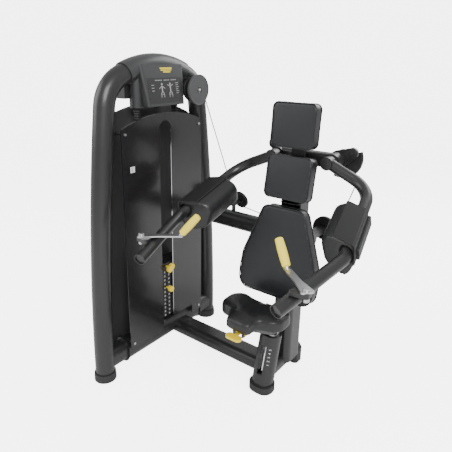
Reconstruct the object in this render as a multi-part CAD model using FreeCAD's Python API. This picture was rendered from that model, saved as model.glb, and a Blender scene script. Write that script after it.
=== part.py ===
import FreeCAD, Part
import math
import os
from FreeCAD import Vector

# Seated deltoid machine with a side weight tower, in millimetres.
# Work frame: X = 0 is the middle of the seat and the tower stands at -X, the user faces -Y,
# Y = 0 is the front post of the tower, Z = 0 is the floor. Everything is moved at the end so
# that the origin is the middle of the footprint.

# ---- driving dimensions: tower -----------------------------------------------------------
TOWER_X = -618.0          # plane of the two posts
POST_SPACING = 757.0      # front post to rear post at the floor
POST_R = 45.0
TUBE_WALL = 3.0
POST_BOW_R = 9470.0       # the posts lean in on this radius
CROWN_R = 480.0           # centre line of the arched crown
CROWN_TOP = 1480.0
CROWN_COVER_R = 49.5
CROWN_COVER_HALF = 180.0  # half length of the crown cover along Y
BEND_R = 150.0
FOOT_R = 52.0
FOOT_H = 38.0
FOOT_FLOOR = 6.0          # rubber under a tube end

CROSSBAR_Z = 95.0
CROSSBAR_W = 84.0
CROSSBAR_H = 104.0
SHROUD_WALL = 4.0
SHROUD_HALF = 268.0       # half length along Y
SHROUD_LIP = 6.0

COVER_X = -558.0          # front face of the smoked front cover
COVER_T = 4.0
COVER_HALF = 262.0
COVER_Z0 = 114.0
COVER_Z1 = 1172.0
COVER_RISE = 52.0
SLOT_HALF = 38.0
SLOT_TOP = 1150.0         # where the round end of the slot starts
SLOT_NOTCH_Z = 164.0
REAR_COVER_X = -671.0
REAR_COVER_HALF = 300.0
REAR_COVER_Z1 = 1190.0
REAR_COVER_RISE = 70.0

# ---- driving dimensions: weight stack --------------------------------------------------------
STACK_X = -610.0
PLATE_PITCH = 22.0
PLATE_D = 84.0
PLATE_L = 320.0
PLATE_EDGE = 2.0
PLATES_RESTING = 7
PLATES_LIFTED = 5
STACK_Z0 = 176.0
STACK_GAP = 0.4
HEAD_T = 34.0
ROD_R = 10.0
ROD_HALF = 120.0          # half spacing of the two guide rods
ROD_SLIDE = 1.0           # clearance of the plates on the rods
SLEEVE_R = 31.0
SLEEVE_Z0 = 1250.0
BELLOWS_R = 17.0
BELLOWS_H = 54.0
BRIDGE_Z0 = 1290.0
BRIDGE_H = 84.0
BRIDGE_D = 50.0
SELECTOR_R = 11.0
SELECTOR_HOLE_R = 16.0
PIN_R = 5.0
PIN_FIT = 0.08
PIN_KNOB_R = 15.0
PIN_OUT = 29.0            # the knobs stand this far in front of the cover

# ---- driving dimensions: placard housing ----------------------------------------------------
HOUSING_Z0 = 1256.0
HOUSING_Z1 = 1432.0
HOUSING_HALF_TOP = 136.0
HOUSING_HALF_LOW = 116.0
HOUSING_FRONT_TOP = -566.0
HOUSING_FRONT_LOW = -536.0
HOUSING_BACK = -606.0

# ---- driving dimensions: cable route ---------------------------------------------------------
CABLE_R = 2.5
STACK_PULLEY_R = 38.0
PULLEY_R = 52.0           # radius of the cable's centre line on the pulleys
LOW_PULLEY_R = 40.0
PULLEY_T = 16.0
PULLEY_RADII = [STACK_PULLEY_R, PULLEY_R, LOW_PULLEY_R, PULLEY_R]
FLANGE = 6.0              # the flanges stand this far above the cable
GROOVE_FIT = 0.4
AXLE_R = 6.0
AXLE_FIT = 0.08
DISC_R = 70.0
DISC_X = -518.0
DRUM_R = 84.0
DRUM_T = 20.0
DRUM_Y = 786.0
SECTOR_START = 24.0       # the drums are sectors between these angles above the sideways line
SECTOR_END = -112.0

# ---- driving dimensions: seat frame ---------------------------------------------------------
BEAM_Y = 505.0
BEAM_W = 116.0
BEAM_H = 70.0
BEAM_Z = 64.0
RAIL_W = 64.0
RAIL_H = 66.0
RAIL_END = 722.0
COLUMN_Y = 408.0          # centre of the seat column at the floor
COLUMN_W = 100.0
COLUMN_D = 84.0
COLUMN_LEAN = 14.0        # degrees, top towards the back pads
COLUMN_TOP = 262.0
COLUMN_WALL = 6.0
UPRIGHT_Y = 618.0
UPRIGHT_W = 96.0
UPRIGHT_D = 136.0
UPRIGHT_TOP = 1010.0
LINK_Y = 726.0
LINK_Z = 652.0
LINK_R = 45.0

# ---- driving dimensions: seat ---------------------------------------------------------------
SEAT_HALF = 156.0
NOSE_HALF = 58.0
SEAT_FRONT = 182.0
SEAT_BACK = 428.0
SEAT_TOP = 466.0
SEAT_T = 60.0
SEAT_TRAVEL = 40.0
INNER_W = 70.0
INNER_D = 54.0
INNER_FIT = 1.0
SPRING_R = 8.0            # gas spring in a channel of the inner tube
SPRING_OFF = 16.0
SPRING_X = -3.0
LEVER_Y = 176.0
LEVER_Z = 390.0

# ---- driving dimensions: back pads ------------------------------------------------------------
PAD_T = 56.0
BOARD_T = 10.0
PAD_CORNER = 26.0
BACK_PAD_TOP_HALF = 98.0
BACK_PAD_LOW_HALF = 190.0
BACK_PAD_Z0 = 450.0
BACK_PAD_Z1 = 858.0
BACK_PAD_Y = 460.0        # front face at its lower edge
BACK_PAD_LEAN = 8.0
MID_PAD_HALF = 107.0
MID_PAD_Z0 = 886.0
MID_PAD_H = 190.0
MID_PAD_Y = 516.0
MID_PAD_LEAN = 9.5
HEAD_PAD_HALF = 103.0
HEAD_PAD_Z0 = 1104.0
HEAD_PAD_H = 190.0
HEAD_PAD_Y = 545.0
HEAD_PAD_LEAN = 4.5

# ---- driving dimensions: arms ------------------------------------------------------------------
PIVOT_X = 133.0
PIVOT_Z = 1045.0
HUB_R = 28.0
HUB_Y0 = 615.0
HUB_L = 50.0
HUB_GAP = 0.5
SHAFT_R = 14.0
SHAFT_FIT = 0.05
HOUSING_R = 34.0
HOUSING_L = 66.0
ARM_R = 24.0
ARM_WALL = 2.5
ARM_BENDS = [(133.0, 640.0, 1045.0), (320.0, 637.0, 962.0), (378.0, 286.0, 804.0), (303.0, -40.0, 716.0)]
ARM_BEND_R = (112.0, 90.0)
BRACKET_T = 6.0
PIVOT_BOLT_R = 6.0
BOLT_FIT = 0.05
GRIP_R = 15.5
GRIP_BASE = (246.0, 128.0, 779.0)
GRIP_END = (182.0, 168.0, 866.0)
HANDLE_PIVOT = (366.0, 32.0)
PAD_START = 132.0         # from the arm's upper corner
PAD_LEN = 256.0
PAD_UP = 44.0             # the housing's flat top above the tube's axis
PAD_DOWN = 92.0
PAD_RIDGE = 50.0
PAD_SKEW = 0.5            # both ends slant across the arm
PAD_BELLY = 112.0
SHELL_T = 7.0
CLEAR = 0.5

MID_Y = POST_SPACING / 2
parts = {}


# ---- helpers ------------------------------------------------------------
def unit(v):
    return v * (1.0 / v.Length)


def box(x0, x1, y0, y1, z0, z1):
    return Part.makeBox(x1 - x0, y1 - y0, z1 - z0, Vector(x0, y0, z0))


def rod(p, d, r, length):
    return Part.makeCylinder(r, length, p, d)


def pin_between(p, q, r):
    return Part.makeCylinder(r, (q - p).Length, p, q - p)


def rounded_wire(points, radii):
    """Closed outline through the corner points, each corner rounded to its own radius."""
    n = len(points)
    edges = []
    starts = []
    ends = []
    mids = []
    for i in range(n):
        p, a, b = points[i], points[i - 1], points[(i + 1) % n]
        u, v = unit(a - p), unit(b - p)
        half = 0.5 * u.getAngle(v)
        cut = radii[i] / math.tan(half)
        starts.append(p + u * cut)
        ends.append(p + v * cut)
        axis = unit(u + v)
        mids.append(p + axis * (radii[i] / math.sin(half) - radii[i]))
    for i in range(n):
        if radii[i] > 0:
            edges.append(Part.Arc(starts[i], mids[i], ends[i]).toShape())
        j = (i + 1) % n
        if (starts[j] - ends[i]).Length > 1e-6:
            edges.append(Part.LineSegment(ends[i], starts[j]).toShape())
    return Part.Wire(edges)


def plate(points, radii, direction):
    """Flat plate: a rounded outline pushed along a direction."""
    return Part.Face(rounded_wire(points, radii)).extrude(direction)


def oval_wire(centre, u, v, w, h, r):
    """Rounded rectangle w along u and h along v."""
    a, b = unit(u) * (w / 2), unit(v) * (h / 2)
    corners = [centre - a - b, centre + a - b, centre + a + b, centre - a + b]
    return rounded_wire(corners, [r] * 4)


def oval_bar(centre, u, v, w, h, r, direction):
    return Part.Face(oval_wire(centre, u, v, w, h, r)).extrude(direction)


def route(points, radii):
    """Straight runs joined by tangent arcs; returns the wire and each arc's centre and axis."""
    edges = []
    hubs = []
    here = points[0]
    for i in range(1, len(points) - 1):
        p = points[i]
        u, v = unit(points[i - 1] - p), unit(points[i + 1] - p)
        half = 0.5 * u.getAngle(v)
        r = radii[i - 1]
        cut = r / math.tan(half)
        axis = unit(u + v)
        start, end = p + u * cut, p + v * cut
        centre = p + axis * (r / math.sin(half))
        edges.append(Part.LineSegment(here, start).toShape())
        edges.append(Part.Arc(start, centre - axis * r, end).toShape())
        hubs.append((centre, unit(u.cross(v)), start, end))
        here = end
    edges.append(Part.LineSegment(here, points[-1]).toShape())
    return Part.Wire(edges), hubs


def tube_along(wire, r):
    first = wire.OrderedEdges[0]
    p = first.valueAt(first.FirstParameter)
    d = first.tangentAt(first.FirstParameter)
    ring = Part.Wire([Part.makeCircle(r, p, d)])
    return wire.makePipeShell([ring], True, False)


def mirrored(shape):
    return shape.mirror(Vector(0, 0, 0), Vector(1, 0, 0))


def both(node, shape):
    """The same piece for the two arms: left is at +X, right is its mirror image."""
    parts["left_" + node] = shape
    parts["right_" + node] = mirrored(shape)


def group(shapes):
    return Part.makeCompound(shapes)


# ---- tower ------------------------------------------------------------
def arc_point(centre, p, q, r):
    """Point of a circle halfway between two of its points."""
    return centre + unit((p - centre) + (q - centre)) * r


def tower_wire(z_start):
    """Posts that bow in, a bend each, and an arched crown, all tangent, in the tower's plane."""
    low = Vector(TOWER_X, POST_BOW_R, 0)
    top = Vector(TOWER_X, MID_Y, CROWN_TOP - CROWN_COVER_R - CROWN_R)
    ra, rb = POST_BOW_R - BEND_R, CROWN_R - BEND_R
    d = (top - low).Length
    along = (ra * ra - rb * rb + d * d) / (2 * d)
    off = math.sqrt(ra * ra - along * along)
    e = unit(top - low)
    n = Vector(0, e.z, -e.y)
    bend = low + e * along + n * off
    if bend.y > MID_Y:
        bend = low + e * along - n * off
    t1 = low + unit(bend - low) * POST_BOW_R
    t2 = top + unit(bend - top) * CROWN_R
    foot = low + Vector(0, -math.sqrt(POST_BOW_R ** 2 - z_start ** 2), z_start)
    half = [Part.Arc(foot, arc_point(low, foot, t1, POST_BOW_R), t1).toShape(),
            Part.Arc(t1, arc_point(bend, t1, t2, BEND_R), t2).toShape()]
    t3 = Vector(TOWER_X, POST_SPACING - t2.y, t2.z)
    crown = Part.Arc(t2, top + Vector(0, 0, CROWN_R), t3).toShape()
    far = [e2.mirror(Vector(0, MID_Y, 0), Vector(0, 1, 0)) for e2 in half]
    return Part.Wire(Part.__sortEdges__(half + [crown] + far))


def crown_wire(half):
    z = CROWN_TOP - CROWN_COVER_R - CROWN_R
    centre = Vector(TOWER_X, MID_Y, z)
    rise = math.sqrt(CROWN_R ** 2 - half ** 2)
    p = centre + Vector(0, -half, rise)
    q = centre + Vector(0, half, rise)
    return Part.Wire([Part.Arc(p, centre + Vector(0, 0, CROWN_R), q).toShape()])


def post_y(z):
    """Y of the front post's centre line at a height."""
    return POST_BOW_R - math.sqrt(POST_BOW_R ** 2 - z ** 2)


def crossbar_solid(w, h, y0, y1):
    return oval_bar(Vector(TOWER_X, y0, CROSSBAR_Z), Vector(1, 0, 0), Vector(0, 0, 1),
                    w, h, w / 2 - 1, Vector(0, y1 - y0, 0))


def rubber_foot(x, y, r, h, post_r):
    """Flared rubber cap with a socket for the tube."""
    profile = [Vector(0, 0, 0), Vector(r, 0, 0), Vector(r, 0, 0.45 * h),
               Vector(post_r + 5, 0, h), Vector(0, 0, h)]
    face = Part.Face(Part.makePolygon(profile + [profile[0]]))
    cap = face.revolve(Vector(0, 0, 0), Vector(0, 0, 1), 360)
    cap.translate(Vector(x, y, 0))
    return cap


def arched_panel(x, half, z0, z1, rise, t, r):
    """Panel with an arched top edge, in the plane of the tower."""
    a, b = Vector(x, MID_Y - half, z0), Vector(x, MID_Y + half, z0)
    c, d = Vector(x, MID_Y + half, z1), Vector(x, MID_Y - half, z1)
    edges = [Part.LineSegment(a, b).toShape(), Part.LineSegment(b, c).toShape(),
             Part.Arc(c, Vector(x, MID_Y, z1 + rise), d).toShape(),
             Part.LineSegment(d, a).toShape()]
    panel = Part.Face(Part.Wire(edges)).extrude(Vector(-t, 0, 0))
    upright = [e for e in panel.Edges if abs(e.Length - t) < 0.01]
    return panel.makeFillet(r, upright)


def make_tower():
    posts = tube_along(tower_wire(FOOT_FLOOR), POST_R)
    bore = tube_along(tower_wire(FOOT_FLOOR), POST_R - TUBE_WALL)
    parts["tower_frame"] = posts.cut(bore)

    cover = tube_along(crown_wire(CROWN_COVER_HALF), CROWN_COVER_R)
    core = tube_along(crown_wire(CROWN_COVER_HALF), POST_R)
    crown = cover.cut(core)
    housing = housing_solid()
    bar = crossbar_solid(CROSSBAR_W, CROSSBAR_H, 0, POST_SPACING)
    bore_bar = crossbar_solid(CROSSBAR_W - 2 * TUBE_WALL, CROSSBAR_H - 2 * TUBE_WALL, 0, POST_SPACING)
    parts["crossbar"] = bar.cut(bore_bar).cut(posts)

    w, h = CROSSBAR_W + 2 * SHROUD_WALL, CROSSBAR_H + 2 * SHROUD_WALL
    shroud = crossbar_solid(w, h, MID_Y - SHROUD_HALF, MID_Y + SHROUD_HALF)
    lips = []
    for y in (MID_Y - SHROUD_HALF, MID_Y + SHROUD_HALF - 3):
        lips.append(crossbar_solid(w + 2 * SHROUD_LIP, h + 2 * SHROUD_LIP, y, y + 3))
    hole = crossbar_solid(CROSSBAR_W, CROSSBAR_H, 0, POST_SPACING)
    parts["stack_shroud"] = shroud.fuse(lips).cut(hole).cut(beam_solid(BEAM_W, BEAM_H))
    parts["crown_cover"] = crown.cut(housing)
    parts["placard_housing"] = housing.cut(cover.fuse(housing_hollow())).cut(bridge_solid())
    make_covers()
    return posts


def housing_solid():
    """Wedge that hangs in front of the crown and carries the placard."""
    rows = []
    for z, half, front in ((HOUSING_Z0, HOUSING_HALF_LOW, HOUSING_FRONT_LOW),
                           (HOUSING_Z1, HOUSING_HALF_TOP, HOUSING_FRONT_TOP)):
        pts = [Vector(HOUSING_BACK, MID_Y - half, z), Vector(front, MID_Y - half, z),
               Vector(front, MID_Y + half, z), Vector(HOUSING_BACK, MID_Y + half, z)]
        rows.append(rounded_wire(pts, [2, 14, 14, 2]))
    return Part.makeLoft(rows, True, True)


def housing_hollow():
    """Room inside the housing for the pulley over the stack, open below."""
    inset = 8.0
    pts = []
    for z, front in ((HOUSING_Z0 - 1, HOUSING_FRONT_LOW), (HOUSING_Z1 - 30, HOUSING_FRONT_TOP)):
        pts.append((z, front - inset))
    rows = []
    for z, front in pts:
        half = HOUSING_HALF_LOW - inset
        corner = [Vector(HOUSING_BACK - 1, MID_Y - half, z), Vector(front, MID_Y - half, z),
                  Vector(front, MID_Y + half, z), Vector(HOUSING_BACK - 1, MID_Y + half, z)]
        rows.append(rounded_wire(corner, [2, 10, 10, 2]))
    return Part.makeLoft(rows, True, True)


def bridge_solid():
    """Bar under the crown that ties the guide rods and the pulley axles to the tower."""
    half = ROD_HALF + 58
    x0 = TOWER_X - BRIDGE_D - 3
    return box(x0, x0 + BRIDGE_D, MID_Y - half, MID_Y + half, BRIDGE_Z0, BRIDGE_Z0 + BRIDGE_H)


def make_covers():
    panel = arched_panel(COVER_X, COVER_HALF, COVER_Z0, COVER_Z1, COVER_RISE, COVER_T, 12)
    slot = box(COVER_X - 20, COVER_X + 20, MID_Y - SLOT_HALF, MID_Y + SLOT_HALF, 0, SLOT_TOP)
    slot = slot.fuse(rod(Vector(COVER_X - 20, MID_Y, SLOT_TOP), Vector(1, 0, 0), SLOT_HALF, 40))
    notch = box(COVER_X - 20, COVER_X + 20, MID_Y, BEAM_Y + BEAM_W / 2, 0, SLOT_NOTCH_Z)
    parts["front_cover"] = panel.cut(slot).cut(notch)
    parts["rear_cover"] = arched_panel(REAR_COVER_X, REAR_COVER_HALF, COVER_Z0, REAR_COVER_Z1,
                                       REAR_COVER_RISE, COVER_T, 30)
    # four spacers with round heads hold each cover to the shroud and to two hanger bars
    heads = []
    stays = []
    for s in (-1, 1):
        y = MID_Y + s * (COVER_HALF - 22)
        for z in (COVER_Z0 + 24, COVER_Z1 - 22):
            heads.append(rod(Vector(COVER_X, y, z), Vector(1, 0, 0), 6, 3))
        x0 = TOWER_X
        low_z = COVER_Z0 + 24
        stays.append(rod(Vector(TOWER_X, y, low_z), Vector(1, 0, 0), 5, COVER_X - COVER_T - TOWER_X))
        stays.append(rod(Vector(x0, y, COVER_Z1 - 22), Vector(1, 0, 0), 5, COVER_X - COVER_T - x0))
        rear_z = COVER_Z1 - 22
        stays.append(rod(Vector(REAR_COVER_X, y, rear_z), Vector(1, 0, 0), 5, x0 - REAR_COVER_X))
        stays.append(rod(Vector(REAR_COVER_X, y, low_z), Vector(1, 0, 0), 5, TOWER_X - REAR_COVER_X))
        reach = post_y(COVER_Z1 - 22) + POST_R - 4
        inner = reach if s < 0 else POST_SPACING - reach
        lo, hi = min(inner, y - s * 9), max(inner, y - s * 9)
        stays.append(box(TOWER_X - 7, TOWER_X + 7, lo, hi, rear_z - 7, rear_z + 7))
    parts["cover_screws"] = group(heads)
    skin = crossbar_solid(CROSSBAR_W + 2 * SHROUD_WALL, CROSSBAR_H + 2 * SHROUD_WALL, 0, POST_SPACING)
    posts = tube_along(tower_wire(FOOT_FLOOR), POST_R)
    parts["cover_stays"] = stays[0].multiFuse(stays[1:]).cut(skin).cut(posts)


# ---- weight stack ------------------------------------------------------------
def stack_plate(z, t):
    """One plate with its rod holes, selector hole and pin hole."""
    x0, x1 = STACK_X - PLATE_D / 2, STACK_X + PLATE_D / 2
    p = box(x0, x1, MID_Y - PLATE_L / 2, MID_Y + PLATE_L / 2, z, z + t)
    p = p.makeChamfer(PLATE_EDGE, p.Edges)
    for s in (-1, 1):
        start = Vector(STACK_X, MID_Y + s * ROD_HALF, z - 1)
        p = p.cut(rod(start, Vector(0, 0, 1), ROD_R + ROD_SLIDE, t + 2))
    p = p.cut(rod(Vector(STACK_X, MID_Y, z - 1), Vector(0, 0, 1), SELECTOR_HOLE_R, t + 2))
    start = Vector(STACK_X - PLATE_D, MID_Y, z + t / 2)
    return p.cut(rod(start, Vector(1, 0, 0), PIN_R + PIN_FIT, 2 * PLATE_D))


def pin_z():
    return STACK_Z0 + PLATE_PITCH * (PLATES_RESTING + 0.5) + STACK_GAP


def head_z():
    return STACK_Z0 + PLATE_PITCH * (PLATES_RESTING + PLATES_LIFTED) + STACK_GAP


def make_stack():
    up = Vector(0, 0, 1)
    resting = [stack_plate(STACK_Z0 + i * PLATE_PITCH, PLATE_PITCH) for i in range(PLATES_RESTING)]
    z1 = STACK_Z0 + PLATES_RESTING * PLATE_PITCH + STACK_GAP
    lifted = [stack_plate(z1 + i * PLATE_PITCH, PLATE_PITCH) for i in range(PLATES_LIFTED)]
    parts["weight_plates_resting"] = group(resting)
    parts["weight_plates_lifted"] = group(lifted)
    top = head_z()
    head = stack_plate(top, HEAD_T)
    neck = rod(Vector(STACK_X, MID_Y, top), up, SELECTOR_HOLE_R, HEAD_T + 26)
    knob_hole = rod(Vector(STACK_X, MID_Y, top + HEAD_T / 2), Vector(1, 0, 0), PIN_R + PIN_FIT, 100)
    socket = rod(Vector(STACK_X, MID_Y, top + HEAD_T + 6), up, CABLE_R, 60)
    parts["head_plate"] = head.fuse(neck).removeSplitter().cut(knob_hole).cut(socket)
    rod_z0 = STACK_Z0 + 8
    selector = rod(Vector(STACK_X, MID_Y, rod_z0), up, SELECTOR_R, top - rod_z0)
    for i in range(PLATES_RESTING + PLATES_LIFTED):
        gap = STACK_GAP if i >= PLATES_RESTING else 0
        z = STACK_Z0 + (i + 0.5) * PLATE_PITCH + gap
        selector = selector.cut(rod(Vector(STACK_X - 20, MID_Y, z), Vector(1, 0, 0), PIN_R + PIN_FIT, 40))
    parts["selector_rod"] = selector
    # selector pin and the knob for the small extra weight
    knob_x = COVER_X + PIN_OUT - 18
    start = STACK_X - PLATE_D / 2 + 6
    pin = rod(Vector(start, MID_Y, pin_z()), Vector(1, 0, 0), PIN_R, knob_x - start)
    knob = rod(Vector(knob_x, MID_Y, pin_z()), Vector(1, 0, 0), PIN_KNOB_R, 18)
    front = [e for e in knob.Edges if abs(e.CenterOfMass.x - knob_x - 18) < 0.1 and e.Closed]
    knob = knob.makeFillet(4, front)
    parts["selector_pin"] = pin.fuse(knob)
    zk = top + HEAD_T / 2
    stem = rod(Vector(STACK_X + 20, MID_Y, zk), Vector(1, 0, 0), PIN_R, knob_x - STACK_X - 16)
    a = math.radians(35)
    u, v = Vector(0, math.cos(a), math.sin(a)), Vector(0, -math.sin(a), math.cos(a))
    paddle = oval_bar(Vector(knob_x + 2, MID_Y, zk), u, v, 50, 32, 15.5, Vector(13, 0, 0))
    parts["increment_knob"] = stem.fuse(paddle)
    # guide rods from the crossbar to the bridge, rubber stops, sleeves and bellows
    rods = []
    stops = []
    sleeves = []
    bellows = []
    base = CROSSBAR_Z + CROSSBAR_H / 2 + SHROUD_WALL
    for s in (-1, 1):
        y = MID_Y + s * ROD_HALF
        rods.append(rod(Vector(STACK_X, y, base), up, ROD_R, BRIDGE_Z0 + 20 - base))
        stop = rod(Vector(STACK_X, y, base), up, 26, STACK_Z0 - base)
        stops.append(stop.cut(rod(Vector(STACK_X, y, 0), up, ROD_R, 400)))
        sleeve_top = CROWN_TOP - CROWN_COVER_R - POST_R if s < 0 else cable_points()[1].z - CABLE_R - 4
        sleeve = rod(Vector(STACK_X, y, SLEEVE_Z0), up, SLEEVE_R, sleeve_top - SLEEVE_Z0)
        sleeves.append(sleeve.cut(rod(Vector(STACK_X, y, 0), up, ROD_R, 2000)))
        z = SLEEVE_Z0 - BELLOWS_H
        rings = []
        for i in range(5):
            r = BELLOWS_R - 1.2 * (4 - i) * 0.5
            rings.append(Part.makeCone(r - 3, r, BELLOWS_H / 10, Vector(STACK_X, y, z), up))
            middle = Vector(STACK_X, y, z + BELLOWS_H / 10)
            rings.append(Part.makeCone(r, r - 3, BELLOWS_H / 10, middle, up))
            z += BELLOWS_H / 5
        body = rings[0].multiFuse(rings[1:])
        bellows.append(body.cut(rod(Vector(STACK_X, y, 0), up, ROD_R, 2000)))
    parts["guide_rods"] = group(rods)
    parts["stack_bumpers"] = group(stops)
    parts["rod_bellows"] = group(bellows)
    arch = tube_along(crown_wire(CROWN_COVER_HALF + 30), CROWN_COVER_R)
    bridge = bridge_solid().cut(arch)
    housing = parts["placard_housing"]
    for s in (-1, 1):
        core = rod(Vector(STACK_X, MID_Y + s * ROD_HALF, 0), up, SLEEVE_R, 2000)
        bridge = bridge.cut(core)
        housing = housing.cut(rod(Vector(STACK_X, MID_Y + s * ROD_HALF, 0), up, SLEEVE_R + CLEAR, 2000))
    parts["placard_housing"] = housing
    parts["rod_sleeves"] = group([s.cut(arch) for s in sleeves])
    parts["top_bridge"] = bridge


# ---- cable, pulleys and their brackets -----------------------------------------------------------------
def cable_points():
    top = CROWN_TOP - CROWN_COVER_R - POST_R - 14
    return [Vector(STACK_X, MID_Y, head_z() + HEAD_T + 6),
            Vector(STACK_X, MID_Y, top),
            Vector(DISC_X - 34, MID_Y + 236, top - 4),
            Vector(-452, 812, 706),
            Vector(108, 792, 640),
            Vector(PIVOT_X + DRUM_R, DRUM_Y, PIVOT_Z - 70),
            Vector(PIVOT_X + DRUM_R, DRUM_Y, PIVOT_Z)]


def grooved_wheel(centre, axis, r, t, bore):
    """Turned pulley whose groove holds the cable at radius r."""
    out = unit(axis.cross(Vector(0.3, 0.2, 1)))
    rim, seat, g = r + FLANGE, r - CABLE_R - GROOVE_FIT, CABLE_R + GROOVE_FIT
    profile = [(bore, -t / 2), (rim - 1.5, -t / 2), (rim, 1.5 - t / 2), (rim, -g - 1.5), (seat, -g),
               (seat, g), (rim, g + 1.5), (rim, t / 2 - 1.5), (rim - 1.5, t / 2), (bore, t / 2)]
    pts = [centre + out * a + axis * b for a, b in profile]
    return Part.Face(Part.makePolygon(pts + [pts[0]])).revolve(centre, axis, 360)


def make_cable(posts):
    pts = cable_points()
    wire, hubs = route(pts[:6], PULLEY_RADII)
    stack_run = Part.Wire([wire.Edges[0]])
    rest = Part.Wire(wire.Edges[1:])
    parts["stack_cable"] = tube_along(stack_run, CABLE_R)
    parts["main_cable"] = tube_along(rest, CABLE_R)
    lengths = [stack_run.Length, rest.Length]
    print("stack run top %.4f" % (pts[0].z + stack_run.Length))
    for shape, length in zip((parts["stack_cable"], parts["main_cable"]), lengths):
        ratio = shape.Volume / (math.pi * CABLE_R ** 2 * length)
        print("cable %.0f mm, volume ratio %.4f" % (length, ratio))
    names = ["stack_pulley", "top_pulley", "low_pulley", "back_pulley"]
    rs = PULLEY_RADII
    for name, (c, axis, start, end), r in zip(names, hubs, rs):
        parts[name] = grooved_wheel(c, axis, r, PULLEY_T, AXLE_R + AXLE_FIT)
    return hubs


def make_brackets(hubs, posts):
    """Axles and arms that hold the four pulleys, the round cover, and room for the cable."""
    (c1, a1, _, _), (c2, a2, _, _), (c3, a3, _, _), (c4, a4, _, _) = hubs
    half = PULLEY_T / 2
    gap = 2.0
    bridge = parts["top_bridge"]
    axles = []
    # stack pulley: an axle out of the bridge
    back = 34.0
    axles.append(rod(c1 - a1 * back, a1, AXLE_R, back + half + 6).cut(bridge))
    axles.append(rod(c1 - a1 * (half + gap + 3), a1, 12, 3))
    # top pulley: an arm on the bridge's end, an axle, and the round cover on its tip
    root = c2 - a2 * ((c2.x - (TOWER_X - 14)) / a2.x)
    end_y = MID_Y + ROD_HALF + 58
    arm = box(TOWER_X - 30, TOWER_X - 6, end_y, root.y + 9, root.z - 20, root.z + 20)
    axles.append(arm.cut(tube_along(tower_wire(FOOT_FLOOR), POST_R)))
    axles.append(pin_between(root, c2 + a2 * (half + 12), AXLE_R))
    axles.append(rod(c2 - a2 * (half + gap + 3), a2, 12, 3))
    parts["pulley_disc"] = rod(Vector(DISC_X - 14, c2.y, c2.z), Vector(1, 0, 0), DISC_R, 14)
    # low pulley: a stub on the link tube
    foot = c3 - a3 * 58
    start = Vector(foot.x, foot.y, LINK_Z + LINK_R - 12)
    stub = rod(start, Vector(0, 0, 1), 10, foot.z - LINK_Z - LINK_R + 16)
    link_core = rod(Vector(TOWER_X, LINK_Y, LINK_Z), Vector(1, 0, 0), LINK_R, 700)
    axles.append(stub.cut(parts["link_tube"]).cut(link_core))
    axles.append(pin_between(foot, c3 + a3 * (half + 5), AXLE_R))
    axles.append(pin_between(foot - a3 * 9, c3 - a3 * (half + gap), 9))
    # back pulley: a plate on the upright's side
    plate_x = UPRIGHT_W / 2
    y0, y1 = UPRIGHT_Y + 20, c4.y - half - gap
    axles.append(box(plate_x, c4.x + 14, y0, y1, c4.z - 14, c4.z + 14))
    axles.append(pin_between(c4 - a4 * (half + 10), c4 + a4 * (half + 6), AXLE_R))
    solid = axles[0].multiFuse(axles[1:])
    room = tube_along(cable_wire(), CABLE_R + 2.5)
    parts["pulley_brackets"] = solid.cut(room).cut(parts["upright"]).cut(parts["tower_frame"])
    parts["placard_housing"] = parts["placard_housing"].cut(tube_along(cable_wire(), CABLE_R + 6))
    disc = parts["pulley_disc"].cut(tube_along(cable_wire(), CABLE_R + 2.5))
    parts["pulley_disc"] = disc.cut(pin_between(root, c2 + a2 * (half + 12), AXLE_R))


def cable_wire():
    pts = cable_points()
    return Part.Wire(route(pts[:6], PULLEY_RADII)[0].Edges[1:])


def print_hubs(hubs):
    for h in hubs:
        print("pulley centre", [round(v, 4) for v in h[0]], "axis", [round(v, 6) for v in h[1]])


# ---- seat frame ------------------------------------------------------------
def beam_solid(w, h):
    """Low beam from the tower to the seat column, rounded like a flat oval."""
    x0 = TOWER_X + 2
    return oval_bar(Vector(x0, BEAM_Y, BEAM_Z), Vector(0, 1, 0), Vector(0, 0, 1), w, h, h / 2 - 2,
                    Vector(-x0, 0, 0))


def lean_axis():
    a = math.radians(COLUMN_LEAN)
    return Vector(0, math.sin(a), math.cos(a))


def column_centre(z):
    return Vector(0, COLUMN_Y + z * math.tan(math.radians(COLUMN_LEAN)), z)


def column_solid(w, d, r, z0, z1):
    """Length of the leaning column between two heights, with level ends."""
    axis = lean_axis()
    p = column_centre(z0 - 60)
    bar = oval_bar(p, Vector(1, 0, 0), axis.cross(Vector(1, 0, 0)), w, d, r,
                   axis * ((z1 - z0 + 120) / axis.z))
    keep = box(-w, w, p.y - 300, p.y + 500, z0, z1)
    return bar.common(keep)


def pad_room():
    """Space that the leaning pads and their boards take in front of the upright."""
    rooms = []
    for y, z, top, lean in ((BACK_PAD_Y, BACK_PAD_Z0, BACK_PAD_Z1, BACK_PAD_LEAN),
                            (MID_PAD_Y, MID_PAD_Z0 - 15, MID_PAD_Z0 + MID_PAD_H, MID_PAD_LEAN)):
        room = box(-UPRIGHT_W, UPRIGHT_W, y - 60, y + PAD_T + BOARD_T + CLEAR, z, top + 12)
        rooms.append(leaning(room, y, z, lean))
    return rooms[0].fuse(rooms[1])


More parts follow.
